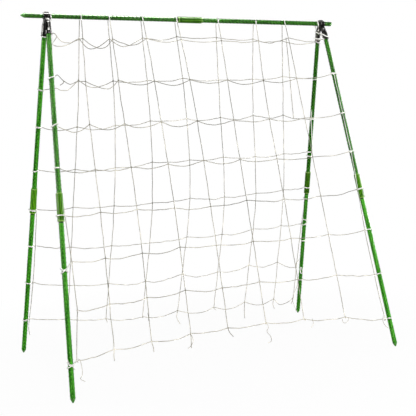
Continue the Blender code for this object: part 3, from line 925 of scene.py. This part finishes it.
def lug_master(name, own):
    """The stop lug, rounded off to its sides; it is rooted in its own half's knuckles only."""
    clear, top = KNUCKLE_RADIUS + 0.0004, KNUCKLE_RADIUS + LUG_HEIGHT - 0.0008
    low, high = Vector((-0.0084, 0.0002, clear - 0.0010)), Vector((0.0084, 0.0054, top))
    only()
    bpy.ops.mesh.primitive_cube_add(size=1, location=(low + high) / 2, scale=high - low)
    made = start_object(name)
    edit(made, "EDGE")
    pick(made, "EDGE", lambda a, b: min(a.z, b.z) > top - 1e-5 and a.x * b.x > 0 and a.y != b.y)
    bpy.ops.mesh.bevel(offset=0.0023, segments=6, affect="EDGES")
    pick(made, "EDGE", lambda a, b: min(a.y, b.y) > 0.0053 and a.z + b.z > 2 * clear)
    bpy.ops.mesh.bevel(offset=0.0021, segments=5, affect="EDGES")
    for side in (-1, 1):
        cut = side * (INNER_KNUCKLE / 2 + 0.0003)
        bpy.ops.mesh.select_all(action="SELECT")
        bpy.ops.mesh.bisect(plane_co=(cut, 0, 0), plane_no=(1, 0, 0))
    pick(made, "VERT", lambda c: c.z < clear - 0.0009 and not own(c.x * 0.9))
    bpy.ops.transform.translate(value=(0, 0, 0.0010))
    pick(made, "FACE", lambda m: m.z < clear - 0.0009 and own(m.x))
    extrude(move=(0, 0, -0.0012))
    leave_outwards()
    return smoothed(made)


def mould_clips(finish):
    """The four clip halves, put together from the same moulded shapes."""
    socket, neck, knuckle = socket_master(), neck_master(), knuckle_master()
    split = INNER_KNUCKLE / 2
    lugs = {
        "front": lug_master("outer_lug", lambda x: abs(x) > split),
        "rear": lug_master("inner_lug", lambda x: abs(x) < split),
    }
    outer = (CLIP_WIDTH - INNER_KNUCKLE) / 2 - KNUCKLE_GAP
    place = (CLIP_WIDTH - outer) / 2
    columns = {
        "front": ((-place, outer), (place, outer)),
        "rear": ((0.0, INNER_KNUCKLE),),
    }
    for face in (front, rear):
        upright = Matrix.Rotation(-math.acos(-face.down.z), 4, "X")
        for side in SIDES:
            leaned = Matrix.Rotation(face.turn * (1 if side == "left" else -1) * face.lean, 4, "Y")
            parts = [copy_of(socket, "socket", leaned), copy_of(neck, "neck", leaned)]
            parts.append(copy_of(lugs[face.name], "lug", upright))
            for middle, width in columns[face.name]:
                fit = Matrix.Translation((middle, 0, 0)) @ Matrix.Diagonal((width, 1, 1, 1))
                parts.append(copy_of(knuckle, "knuckle", fit))
            made = joined(parts)
            made.name = f"{face.name}_{side}_moulded_clip"
            made.data.transform(face.clip_matrix(side))
            smoothed(made)
            finish_piece(made, finish, face.body, f"{face.name}_{side}_clip")
    return [socket, neck, knuckle, *lugs.values()]


class FaceFrame:
    """Places on one face of the trellis: x along the bar, depth down the slope, lift off it."""

    def __init__(self, name):
        self.name = name
        self.body = f"{name}_frame"
        self.turn = -1 if name == "front" else 1
        self.feet = {side: MOUNTS[f"{name}_{side}_foot"] for side in SIDES}
        left = self.feet["left"]
        down = Vector(left["axis"])
        self.lean = abs(down.x) / Vector((0, down.y, down.z)).length
        self.down = Vector((0, down.y, down.z)).normalized()
        self.out = Vector((0, self.down.z, -self.down.y))
        if self.out.z < 0:
            self.out = -self.out
        self.middle = (left["pos_m"][0] + self.feet["right"]["pos_m"][0]) / 2
        self.origin = Vector((self.middle, 0, BAR_HEIGHT))
        reach = Vector(left["pos_m"]) - self.origin
        self.foot_depth = reach.dot(self.down)
        self.plane = reach.dot(self.out)
        self.foot_x = abs(reach.x)

    def at(self, x, depth, lift=0.0):
        """A point from millimetres; lift counts out from the plane of the leg axes."""
        across, out = Vector((x * MM, 0, 0)), self.out * (self.plane + lift * MM)
        return self.origin + across + self.down * (depth * MM) + out

    def leg_x(self, side, depth):
        """The leg axis's x in millimetres at a depth in millimetres."""
        sign = -1 if side == "left" else 1
        return sign * (self.foot_x / MM - (self.foot_depth / MM - depth) * self.lean)

    def clip_matrix(self, side):
        """From a clip half round the bar, Y out of the face and Z up it, to its place."""
        middle = self.leg_x(side, 0) * MM + self.middle
        along = Vector((self.turn, 0, 0))
        turn = Matrix((along, self.out, -self.down)).transposed().to_4x4()
        return Matrix.Translation((middle, 0, BAR_HEIGHT)) @ turn

    def leg_matrix(self, side):
        """From a stake laid along Z with its tip at the origin to the lower stake's place."""
        foot = self.feet[side]
        up = -Vector(foot["axis"])
        across = Vector((1, 0, 0)).cross(up).normalized()
        turn = Matrix((across.cross(up), across, up)).transposed().to_4x4()
        return Matrix.Translation(foot["pos_m"]) @ turn


def keep_on_mesh(obj, name, values):
    kept = obj.data.attributes.new(name, "FLOAT_VECTOR", "POINT")
    for item, value in zip(kept.data, values):
        item.vector = value


def lay_rod(made, place, tone):
    """Keeps a stake's or sleeve's own coordinates, and its tone with its painted light, sheen and shadow amounts,
    for its material, and lays it.
    """
    corners = [tuple(corner.co) for corner in made.data.vertices]
    keep_on_mesh(made, "rod_place", corners)
    keep_on_mesh(made, "stake_tone", [tone] * len(corners))
    made.data.transform(place)


def lay_stakes(coat, sleeve, sleeve_finish):
    """Two coats and a sleeve for the crossbar and for every leg."""
    bar_finish = coat_material("crossbar_coat_green", gloss=0.09, nub_shade_depth=0.60)
    leg_finish = coat_material("leg_coat_green", gloss=0.02, nub_shade_depth=0.30)
    reach = SLEEVE_HALF + 2 * MM
    joint = (SLEEVE_MIDDLE - reach, SLEEVE_MIDDLE + reach)
    clips = [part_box(f"front_{side}_clip") for side in SIDES]
    on_bar = [joint] + [(low.x - BAR_START - MM, high.x - BAR_START + MM) for low, high in clips]
    on_leg = [joint, (2 * STAKE_PITCH - SOCKET_GRIP, 2 * STAKE_PITCH)]
    along = Matrix.Rotation(math.pi / 2, 4, "Y")
    bar_matrix = Matrix.Translation((BAR_START, 0, BAR_HEIGHT)) @ along
    lines = [("crossbar", "crossbar", bar_matrix, SIDES, on_bar)]
    for face in (front, rear):
        for side in SIDES:
            name = f"{face.name}_{side}"
            lines.append((name, face.body, face.leg_matrix(side), ("lower", "upper"), on_leg))
    for name, body, matrix, halves, covered in lines:
        finish = bar_finish if body == "crossbar" else leg_finish
        for index, half in enumerate(halves):
            start = index * STAKE_PITCH
            turned = Matrix.Rotation(chance.uniform(0, math.pi), 4, "Z")
            made = copy_of(coat, f"{name}_{half}_coat", turned)
            press_flat(made, [(low - start, high - start) for low, high in covered])
            # Brightness, partly painted light, the painted sheen, and whether the painted shadow below the sleeve
            # falls on this stake
            tone = (*STAKE_TONE_AND_LIGHT[f"{name}_{half}"], 1.0 - index)
            lay_rod(made, matrix @ Matrix.Translation((0, 0, start)), tone)
            finish_piece(made, finish, body, f"{name}_{half}_stake")
        made = copy_of(sleeve, f"{name}_ribbed_sleeve", Matrix.Rotation(chance.random(), 4, "Z"))
        middle = Matrix.Translation((0, 0, SLEEVE_MIDDLE))
        # Sleeve brightness, partly painted light and shade, with no painted sheen or shadow
        lay_rod(made, matrix @ middle, (SLEEVE_TONE_AND_LIGHT[name], 0.0, 0.0))
        finish_piece(made, sleeve_finish, body, f"{name}_sleeve")


def smooth_line(points, step=CORD_STEP):
    """A smooth curve through given points, read off at even steps."""
    padded = [2 * points[0] - points[1], *points, 2 * points[-1] - points[-2]]
    line = [points[0]]
    for a, b, c, d in zip(padded, padded[1:], padded[2:], padded[3:]):
        count = max(2, round((c - b).length / step))
        for i in range(1, count + 1):
            t = i / count
            square = (2 * a - 5 * b + 4 * c - d) * t**2
            cube = (3 * b - 3 * c + d - a) * t**3
            line.append(0.5 * (2 * b + (c - a) * t + square + cube))
    return line


def cord_section():
    """Outline of the cord: two plies side by side with a waist between them."""
    d, r, w = CORD_RADIUS - PLY_RADIUS, PLY_RADIUS, PLY_WAIST
    outline = ((d + r, 0), (d, r), (0, w), (-d, r), (-d - r, 0), (-d, -r), (0, -w), (d, -r))
    curve = bpy.data.curves.new("cord_section", "CURVE")
    curve.dimensions = "2D"
    spline = curve.splines.new("POLY")
    spline.points.add(len(outline) - 1)
    for point, (x, y) in zip(spline.points, outline):
        point.co = (x, y, 0, 1)
    spline.use_cyclic_u = True
    return in_scene(bpy.data.objects.new("cord_section", curve))


class Cords:
    """Centre lines that all get the same two-ply twisted cord."""

    def __init__(self, name):
        self.name = name
        self.lines = []

    def add(self, points, smooth=True, size=1.0):
        """One cord along the points; its size, or a function of the place, is a share."""
        self.lines.append((smooth_line(points) if smooth else points, size))

    def lay(self, section):
        curve = bpy.data.curves.new(self.name, "CURVE")
        curve.dimensions = "3D"
        curve.bevel_mode = "OBJECT"
        curve.bevel_object = section
        curve.use_fill_caps = True
        curve.twist_mode = "MINIMUM"
        for line, size in self.lines:
            spline = curve.splines.new("POLY")
            spline.points.add(len(line) - 1)
            run = 0.0
            phase = chance.uniform(0, math.tau)
            for i, place in enumerate(line):
                run += (place - line[i - 1]).length if i else 0.0
                spline.points[i].co = (*place, 1.0)
                spline.points[i].tilt = (phase + run / TWIST_PITCH * math.tau) % math.tau
                spline.points[i].radius = size(place) if callable(size) else size
        made = in_scene(bpy.data.objects.new(self.name, curve))
        only(made)
        bpy.ops.object.convert(target="MESH")
        edit(made, "FACE")
        leave_outwards()
        return smoothed(made, 75)


def upright_x(face, index, depth):
    """An inner upright's x at a depth, smooth through its four places."""
    line = [Vector((d, x)) for d, x in zip(UPRIGHT_DEPTHS, UPRIGHTS[face.name][index])]
    padded = [2 * line[0] - line[1], *line, 2 * line[-1] - line[-2]]
    first = sum(depth > place.x for place in line[1:-1])
    a, b, c, d = padded[first : first + 4]
    t = (depth - b.x) / (c.x - b.x)
    slope_b = (c.y - a.y) / (c.x - a.x) * (c.x - b.x)
    slope_c = (d.y - b.y) / (d.x - b.x) * (c.x - b.x)
    straight = b.y + (c.y - b.y) * (t * t * (3 - 2 * t))
    return straight + t * (1 - t) ** 2 * slope_b - t * t * (1 - t) * slope_c


def knots_of(face):
    """Every knot of a face as rows of (x, depth, lift) in millimetres, from left to right."""
    rows = []
    for row, depths in enumerate(ROWS[face.name]):
        knots = [(upright_x(face, i, depth), depth, 0.0) for i, depth in enumerate(depths[1:-1])]
        ends = []
        for side, inwards, depth in (("left", 1, depths[0]), ("right", -1, depths[-1])):
            inset, lift, below = EDGE_KNOTS[face.name, side][row]
            ends.append((face.leg_x(side, depth) + inwards * inset, depth + below, lift))
        rows.append([ends[0], *knots, ends[1]])
    return rows


def droop(t, lowest):
    """Hanging shape of a slack span, 0 at the ends and 1 at its lowest place."""
    if t < lowest:
        return math.sin(math.pi / 2 * t / lowest)
    return math.cos(math.pi / 2 * (t - lowest) / (1 - lowest))


def wander(amplitude):
    """A small smooth wander that fades at both ends of a span."""
    waves = [
        (chance.uniform(-1, 1) / math.sqrt(k), k, chance.uniform(0, math.tau)) for k in (1, 2, 4, 7)
    ]

    def off(t):
        fade = math.sin(math.pi * t) ** 0.7 if 0 < t < 1 else 0.0
        return amplitude * fade * sum(a * math.sin(k * math.pi * t + p) for a, k, p in waves)

    return off


def row_line(face, row, knots):
    """One row's cord from the left edge knot to the right one."""
    line = []
    lowest_places = LOWEST[face.name]
    # From the third row down, each row takes its lowest places one further along
    shift = row if row > 1 else 0
    for span, (a, b) in enumerate(zip(knots, knots[1:])):
        if span == 0 and (face.name, row) in LOOSE_STARTS:
            loose = [(x, depth, 1.0) for x, depth in LOOSE_STARTS[face.name, row]]
            line += smooth_line([face.at(*place) for place in (a, *loose, b)])
            continue
        sag = SAGS[face.name][row][span]
        lowest = lowest_places[(span + shift) % len(lowest_places)]
        rise, push = map(wander, ROW_WANDER)
        count = max(8, round(math.dist(a, b) * MM / CORD_STEP))
        for i in range(1 if line else 0, count + 1):
            t = i / count
            x, depth, lift = (p + (q - p) * t for p, q in zip(a, b))
            line.append(face.at(x, depth + sag * droop(t, lowest) + rise(t), lift + push(t)))
    return line


def over_bar(face, x):
    """The cord's way over the crossbar: from just past the crest down to the face."""
    radius = (STAKE_RADIUS + CORD_RADIUS + 0.2 * MM) / MM
    start = math.atan2(abs(face.down.y), -face.down.z) - PAST_CREST
    line = []
    for i in range(BAR_STEPS + 1):
        a = start + (math.pi / 2 - start) * i / BAR_STEPS
        line.append(face.at(x, -math.cos(a) * radius, math.sin(a) * radius - face.plane / MM))
    return line


def upright_line(face, top_x, knots, tail, slack, first_run=()):
    """One upright from the crossbar through its knots to its cut end."""
    line = over_bar(face, top_x)
    line += [face.at(*place) for place in first_run]
    for a, b in zip([None, *knots], knots):
        if a:
            off, lift = wander(slack), wander(slack)
            for t in (0.25, 0.5, 0.75):
                x, depth, out = (p + (q - p) * t for p, q in zip(a, b))
                line.append(face.at(x + off(t), depth, out + lift(t)))
        line.append(face.at(b[0], b[1], b[2] + KNOT_LIFT))
    x, depth, out = knots[-1]
    drop, lean = tail
    bend = chance.uniform(-5, 5)
    line.append(face.at(x + lean * 0.25 + bend, depth + drop * 0.5, out + 1.5))
    line.append(face.at(x + lean, depth + drop, out + 2.5))
    return line


def tie_line(face, side, tie_depth, knot, turns, slant):
    """A tie from the edge knot round the leg and back."""
    sign = -1 if side == "left" else 1
    from_joint = tie_depth * MM - (face.foot_depth - SLEEVE_MIDDLE)
    held = SLEEVE_RADIUS if abs(from_joint) < SLEEVE_HALF else STAKE_RADIUS + 0.4 * MM
    if tie_depth * MM < SOCKET_DEPTH:
        held = COLLAR_RADIUS
    radius = (held + TIE_STANDOFF) / MM
    start = math.atan2(knot[2], knot[0] - face.leg_x(side, knot[1]))
    line = [face.at(*knot)]
    steps = TIE_STEPS * turns
    for i in range(1, steps):
        share = i / steps
        a = start + sign * math.tau * turns * share
        down = tie_depth + slant * math.cos(a) / 2 + TIE_PITCH * (turns - 1) * (share - 0.5)
        x = face.leg_x(side, down) + math.cos(a) * radius
        line.append(face.at(x, down, math.sin(a) * radius))
    line.append(face.at(knot[0], knot[1] + 1.2, knot[2] - 0.6))
    return line


def tie_ends(face, knot, side):
    """Two short cut ends at a tie's knot."""
    sign = -1 if side == "left" else 1
    x, depth, lift = knot
    ends = []
    for way in (-1, 1):
        length = chance.uniform(4, 8)
        turn = chance.uniform(-0.5, 0.9)
        end_x = x - sign * math.cos(turn) * length * 0.6 + way
        end_depth = depth + math.sin(turn) * length + 2
        end = face.at(end_x, end_depth, lift + chance.uniform(-2, 2))
        ends.append([face.at(*knot), face.at(x + way * 1.5, depth + way, lift + 1.0), end])
    return ends


def knot_master():
    """A small tight knot: two oval turns of cord, bent over each other like saddles."""
    parts = []
    for turn in (0.0, math.pi / 2):
        only()
        bpy.ops.mesh.primitive_torus_add(
            major_segments=12, minor_segments=5, major_radius=1.6 * MM, minor_radius=0.8 * MM
        )
        made = start_object("knot_turn")
        edit(made, "VERT")
        bpy.ops.transform.resize(value=(1.2, 0.78, 1), center_override=(0, 0, 0))
        for far, bend in ((1.3 * MM, -0.35 * MM), (2.0 * MM, -0.45 * MM)):
            pick(made, "VERT", lambda corner: abs(corner.x) > far)
            bpy.ops.transform.translate(value=(0, 0, bend))
        leave_edit()
        over = Matrix.Rotation(turn, 4, "Z") @ Matrix.Rotation(2 * turn, 4, "X")
        lift = Matrix.Translation((0, 0, 0.25 * MM))
        made.data.transform(Matrix.Rotation(math.pi / 2, 4, "X") @ over @ lift)
        parts.append(made)
    knot = joined(parts)
    edit(knot, "FACE")
    leave_outwards()
    return knot


def tie_knots(name, places, master):
    """Copies of the knot at the given places, joined into one mesh."""
    made = []
    for place, size in places:
        turned = Matrix.Rotation(chance.uniform(-0.4, 0.4), 4, "Y")
        matrix = Matrix.Translation(place) @ turned @ Matrix.Scale(size, 4)
        made.append(copy_of(master, name, matrix))
    return smoothed(joined(made), 60)


def share_from(value, start, span):
    """0 up to the start and 1 past the span."""
    return min(1.0, max(0.0, (value - start) / span))


def upright_size(amount=1.0):
    """An upright is doubled over the crossbar, and some look thinner or doubled below it."""

    def size(place):
        doubled = share_from(place.z, BAR_HEIGHT - BAR_AND_LEG_REACH, 0.012)
        upper = share_from(place.z, UPPER_STAKE_HEIGHT, 0.05)
        return (1.0 + 0.45 * doubled) * (1.0 + (amount - 1.0) * upper)

    return size


def strand_size(place):
    """A loose strand that hangs low has frayed to a thinner one."""
    return LOW_STRAND_SIZE if place.z < LOW_STRAND else 1.0


def hang_net(face, section, knot_shape, net_finish, tie_finish):
    """The net of one face: uprights, rows, ties and knots."""
    rows = knots_of(face)
    uprights = Cords(f"{face.name}_net_uprights")
    crossings = Cords(f"{face.name}_net_rows")
    ties = Cords(f"{face.name}_net_ties")
    for row, knots in enumerate(rows):
        crossings.add(row_line(face, row, knots), smooth=False)
        depths = ROWS[face.name][row]
        for side, depth, knot in zip(SIDES, (depths[0], depths[-1]), (knots[0], knots[-1])):
            turns, slant = TIES[face.name, side][row]
            if turns:
                ties.add(tie_line(face, side, depth, knot, turns, slant), size=TIE_SIZE)
            for end in tie_ends(face, knot, side):
                ties.add(end)
    for side in SIDES:
        for depth, turns, slant in EXTRA_TIES.get((face.name, side), ()):
            knot = (face.leg_x(side, depth) + EXTRA_KNOT[0], depth, EXTRA_KNOT[1])
            ties.add(tie_line(face, side, depth, knot, turns, slant), size=TIE_SIZE)
    for strand in ODD_TIES[face.name]:
        ties.add([face.at(*place) for place in strand], size=TIE_SIZE)
    for strand in ODD_STRANDS[face.name]:
        crossings.add([face.at(*place) for place in strand], size=strand_size)
    last = len(rows[0]) - 1
    for column, tail in enumerate(TAILS[face.name]):
        knots = [row[column] for row in rows]
        if column in (0, last):
            edge = face.name, "left" if column == 0 else "right"
            run = FIRST_RUNS[edge]
            below = [knot for knot in knots if knot[1] > run[-1][1]]
            line = upright_line(face, BAR_PLACES[edge], below, tail, EDGE_WANDER, run)
            uprights.add(line, size=upright_size(EDGE_THICKNESS.get(edge, 1.0)))
        else:
            top = UPRIGHTS[face.name][column - 1][0]
            line = upright_line(face, top, knots, tail, INNER_WANDER)
            uprights.add(line, size=upright_size())
    hung, across, tied = (cords.lay(section) for cords in (uprights, crossings, ties))
    places = [
        (face.at(x, depth, lift + KNOT_LIFT), chance.uniform(0.9, 1.2))
        for knots in rows
        for x, depth, lift in knots
    ]
    knotted = tie_knots(f"{face.name}_net_knots", places, knot_shape)
    start, end = (Vector((0, 0, height)) for height in BLEND_HEIGHTS)
    for piece in (hung, across, tied, knotted):
        paint(piece, tie_finish if piece is tied else net_finish)
    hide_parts(f"{face.name}_net")
    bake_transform(hung)
    for piece in (across, tied, knotted):
        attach(piece, face.body)


def dress_small_parts(tip_finish):
    """The tips and caps keep their own shape and get their finish."""
    for name, node in frame["nodes"].items():
        if name.endswith(("_tip", "_cap")):
            paint(node, tip_finish)


def white_rays(wire):
    """The rays that show the white ground: straight to the camera, mirrored and let through."""
    path = wire.node("ShaderNodeLightPath").socket.node.outputs
    kinds = ("Camera", "Glossy", "Transmission")
    return [Wire(wire.tree, path[f"Is {kind} Ray"]) for kind in kinds]


def lay_floor():
    """A pale floor that keeps a soft shadow near the trellis and fades to white further off."""
    only()
    bpy.ops.mesh.primitive_plane_add(size=60, location=(0, 0, -0.0004))
    floor = start_object("floor")
    made, wire = new_material("pale_floor")
    shader = made.node_tree.nodes["Principled BSDF"]
    shader.inputs["Base Color"].default_value = (0.50, 0.50, 0.50, 1)
    shader.inputs["Roughness"].default_value = 0.9
    shader.inputs["Specular IOR Level"].default_value = 0.1
    white = wire.node("ShaderNodeEmission", None, {"Color": (1, 1, 1, 1), "Strength": 1.0})
    seen, glossy, through = white_rays(wire)
    place = object_place(wire)
    far = place.node("ShaderNodeVectorMath", {"operation": "LENGTH"}, {0: place}, output=1)
    share = (seen + glossy + through).clamped() * (0.95 + far.rise(0.55, 1 / 0.9) * 0.05)
    surfaces = {0: share, 1: Wire(wire.tree, shader.outputs[0]), 2: white}
    mixed = wire.node("ShaderNodeMixShader", None, surfaces)
    output = made.node_tree.nodes["Material Output"]
    made.node_tree.links.new(mixed.socket, output.inputs["Surface"])
    floor.data.materials.append(made)


def light_scene():
    """White surroundings that light the object softly, and lamps for form and sheen."""
    world = bpy.data.worlds.new("studio")
    bpy.context.scene.world = world
    world.use_nodes = True
    wire = Wire(world.node_tree)
    seen, glossy, through = white_rays(wire)
    ceiling = 1.0 - wire.node("ShaderNodeTexCoord").part(2).rise(0.30, 1 / 0.35) * 0.9
    share = (seen + (glossy + through) * ceiling).clamped()
    background = world.node_tree.nodes["Background"]
    background.inputs["Color"].default_value = (1, 1, 1, 1)
    world.node_tree.links.new((0.14 + share * 0.86).socket, background.inputs["Strength"])
    # Name, place, width, height, power and whether it lights as well as shines
    lamps = (
        ("key", (-0.8, -2.2, 3.3), 0.45, 1.8, 80, True),
        ("low_front", (0.9, -2.5, 0.5), 0.5, 0.8, 36, True),
        ("right_strip", (2.5, -1.3, 1.5), 0.14, 1.9, 34, True),
        ("left_strip", (-2.7, 1.2, 1.5), 0.14, 1.9, 38, True),
        ("overhead", (0.0, 0.1, 2.9), 1.7, 0.9, 16, True),
        ("left_sheen", (-3.0, 0.1, 1.5), 0.5, 1.9, 620, False),
        ("right_sheen", (3.0, 0.0, 1.5), 0.5, 1.9, 620, False),
        ("top_sheen", (0.0, -0.1, 2.9), 1.7, 0.8, 780, False),
        ("back_sheen", (0.0, 1.7, 2.7), 1.6, 0.3, 70, False),
    )
    for name, place, width, height, power, lights in lamps:
        data = bpy.data.lights.new(name, "AREA")
        data.shape = "RECTANGLE"
        data.size = width
        data.size_y = height
        data.energy = power
        lamp = in_scene(bpy.data.objects.new(name, data))
        lamp.location = place
        lamp.visible_diffuse = lights
        aim = Vector(LAMP_AIM) - Vector(place)
        lamp.rotation_euler = aim.to_track_quat("-Z", "Y").to_euler()


def set_camera():
    data = bpy.data.cameras.new("camera")
    data.lens = CAMERA_LENS
    data.sensor_width = 36
    data.clip_start = 0.05
    camera = in_scene(bpy.data.objects.new("camera", data))
    turn = Matrix.Rotation(-CAMERA_TURN, 4, "Z")
    tip = Matrix.Rotation(math.pi / 2 - CAMERA_DOWN, 4, "X")
    roll = Matrix.Rotation(CAMERA_ROLL, 4, "Z")
    camera.matrix_world = Matrix.Translation(CAMERA_PLACE) @ turn @ tip @ roll
    bpy.context.scene.camera = camera


set_camera()
light_scene()
lay_floor()
front = FaceFrame("front")
rear = FaceFrame("rear")
coat, sleeve = coat_master(), sleeve_master()
lay_stakes(coat, sleeve, sleeve_material())
clip_parts = mould_clips(clip_material())
dress_small_parts(tip_material())
section = cord_section()
knot_shape = knot_master()
# The net's cord, with painted shade that greys it higher up
net_finish = cord_material(
    "net_cord_beige", (0.26, 0.240, 0.185), (0.70, 0.660, 0.540), (0.130, 0.122, 0.092), 0.95
)
# The ties get a whiter copy of the same cord, a painted highlight, without the painted shade by height
tie_finish = cord_material(
    "tie_cord_white", (0.72, 0.700, 0.650), (0.86, 0.850, 0.820), (0.58, 0.56, 0.51), 0.0
)
for face in (front, rear):
    hang_net(face, section, knot_shape, net_finish, tie_finish)
for spare in (coat, sleeve, *clip_parts, section, knot_shape):
    bpy.data.objects.remove(spare)

bpy.context.scene.view_settings.view_transform = "Standard"
